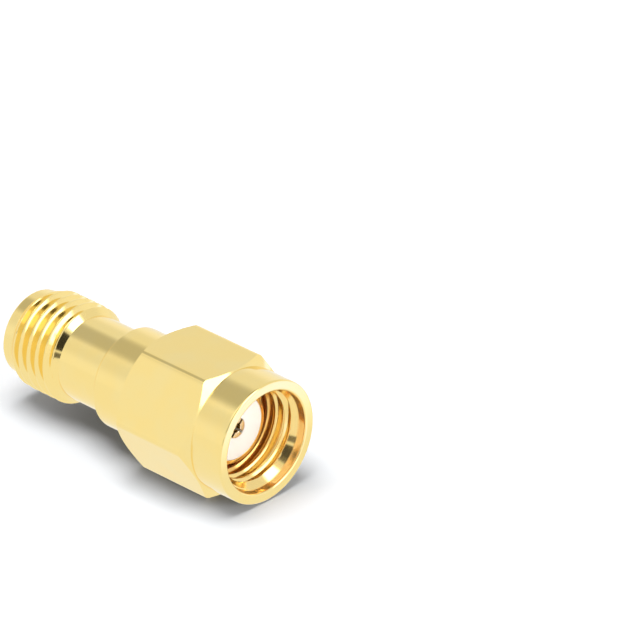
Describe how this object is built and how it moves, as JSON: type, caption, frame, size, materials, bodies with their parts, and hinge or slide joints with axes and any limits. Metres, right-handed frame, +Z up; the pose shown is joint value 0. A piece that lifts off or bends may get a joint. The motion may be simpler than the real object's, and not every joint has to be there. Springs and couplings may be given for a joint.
{
  "type": "coaxial adapter",
  "caption": "In-line coaxial adapter: a plug with a free-spinning hexagonal coupling nut at one end and a threaded jack at the other, gold-plated.",
  "frame": {"origin": "on the adapter's axis, half way along its length", "axes": "+X along the axis towards the mouth of the coupling nut, +Z up, square to the nut's upper flat"},
  "size_m": [0.0198, 0.0092, 0.008],
  "materials": {
    "gold_plate": "polished gold plate on turned brass",
    "contact_gold": "gold plate on the spring contact",
    "spring_bronze": "bare spring bronze",
    "ptfe": "white PTFE, matt and slightly waxy",
    "silicone": "soft red silicone"
  },
  "bodies": {
    "adapter": {"adapter_body": "gold_plate", "retaining_ring": "spring_bronze", "sealing_gasket": "silicone", "plug_dielectric": "ptfe", "jack_dielectric": "ptfe", "centre_contact": "contact_gold"},
    "nut": {"coupling_nut": "gold_plate"}
  },
  "joints": [
    {"name": "nut_spin", "type": "hinge", "parent": "adapter", "child": "nut", "pos_m": [0.00565, 0, 0], "axis": [1, 0, 0], "continuous": true}
  ]
}
